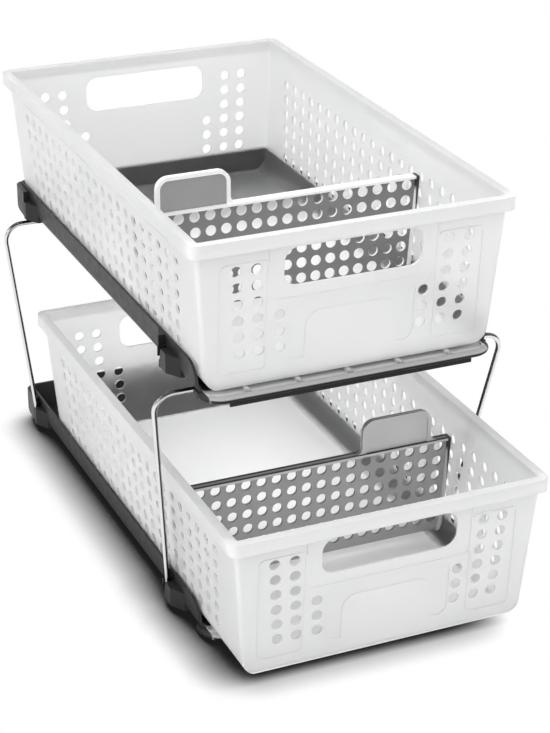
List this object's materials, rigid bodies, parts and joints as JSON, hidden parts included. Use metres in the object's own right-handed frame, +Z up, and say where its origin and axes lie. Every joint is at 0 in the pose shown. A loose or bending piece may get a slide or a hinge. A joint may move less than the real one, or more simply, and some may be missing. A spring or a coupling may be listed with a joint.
{
  "type": "pull out cabinet basket",
  "caption": "Two-tier pull-out cabinet organiser: frosted perforated baskets slide on dark trays carried by bent chrome wire frames; each basket has a movable divider.",
  "frame": {"origin": "on the floor, under the middle of the whole with the lower basket pulled out as shown", "axes": "+X to the right seen from the front, +Y to the back, +Z up; the baskets pull out along -Y"},
  "size_m": [0.2834, 0.506, 0.322],
  "materials": {
    "frosted": "frosted translucent",
    "dark_plastic": "fine moulded matte",
    "grey_plastic": "moulded matte, translucent",
    "chrome_wire": "polished"
  },
  "bodies": {
    "stand": {"upper_tray": "dark_plastic", "lower_tray": "dark_plastic", "front_wire_frame": "chrome_wire", "rear_wire_frame": "chrome_wire"},
    "upper_basket": {"upper_basket": "frosted"},
    "lower_basket": {"lower_basket": "frosted"},
    "upper_divider": {"upper_divider": "grey_plastic"},
    "lower_divider": {"lower_divider": "grey_plastic"}
  },
  "joints": [
    {"name": "upper_basket_slide", "type": "slide", "parent": "stand", "child": "upper_basket", "axis": [0, -1, 0], "range_m": [0, 0.2]},
    {"name": "lower_basket_slide", "type": "slide", "parent": "stand", "child": "lower_basket", "axis": [0, -1, 0], "range_m": [-0.068, 0.132]},
    {"name": "upper_divider_slide", "type": "slide", "parent": "upper_basket", "child": "upper_divider", "axis": [0, -1, 0], "range_m": [-0.2505, 0.0905]},
    {"name": "lower_divider_slide", "type": "slide", "parent": "lower_basket", "child": "lower_divider", "axis": [0, -1, 0], "range_m": [-0.2505, 0.0905]}
  ]
}
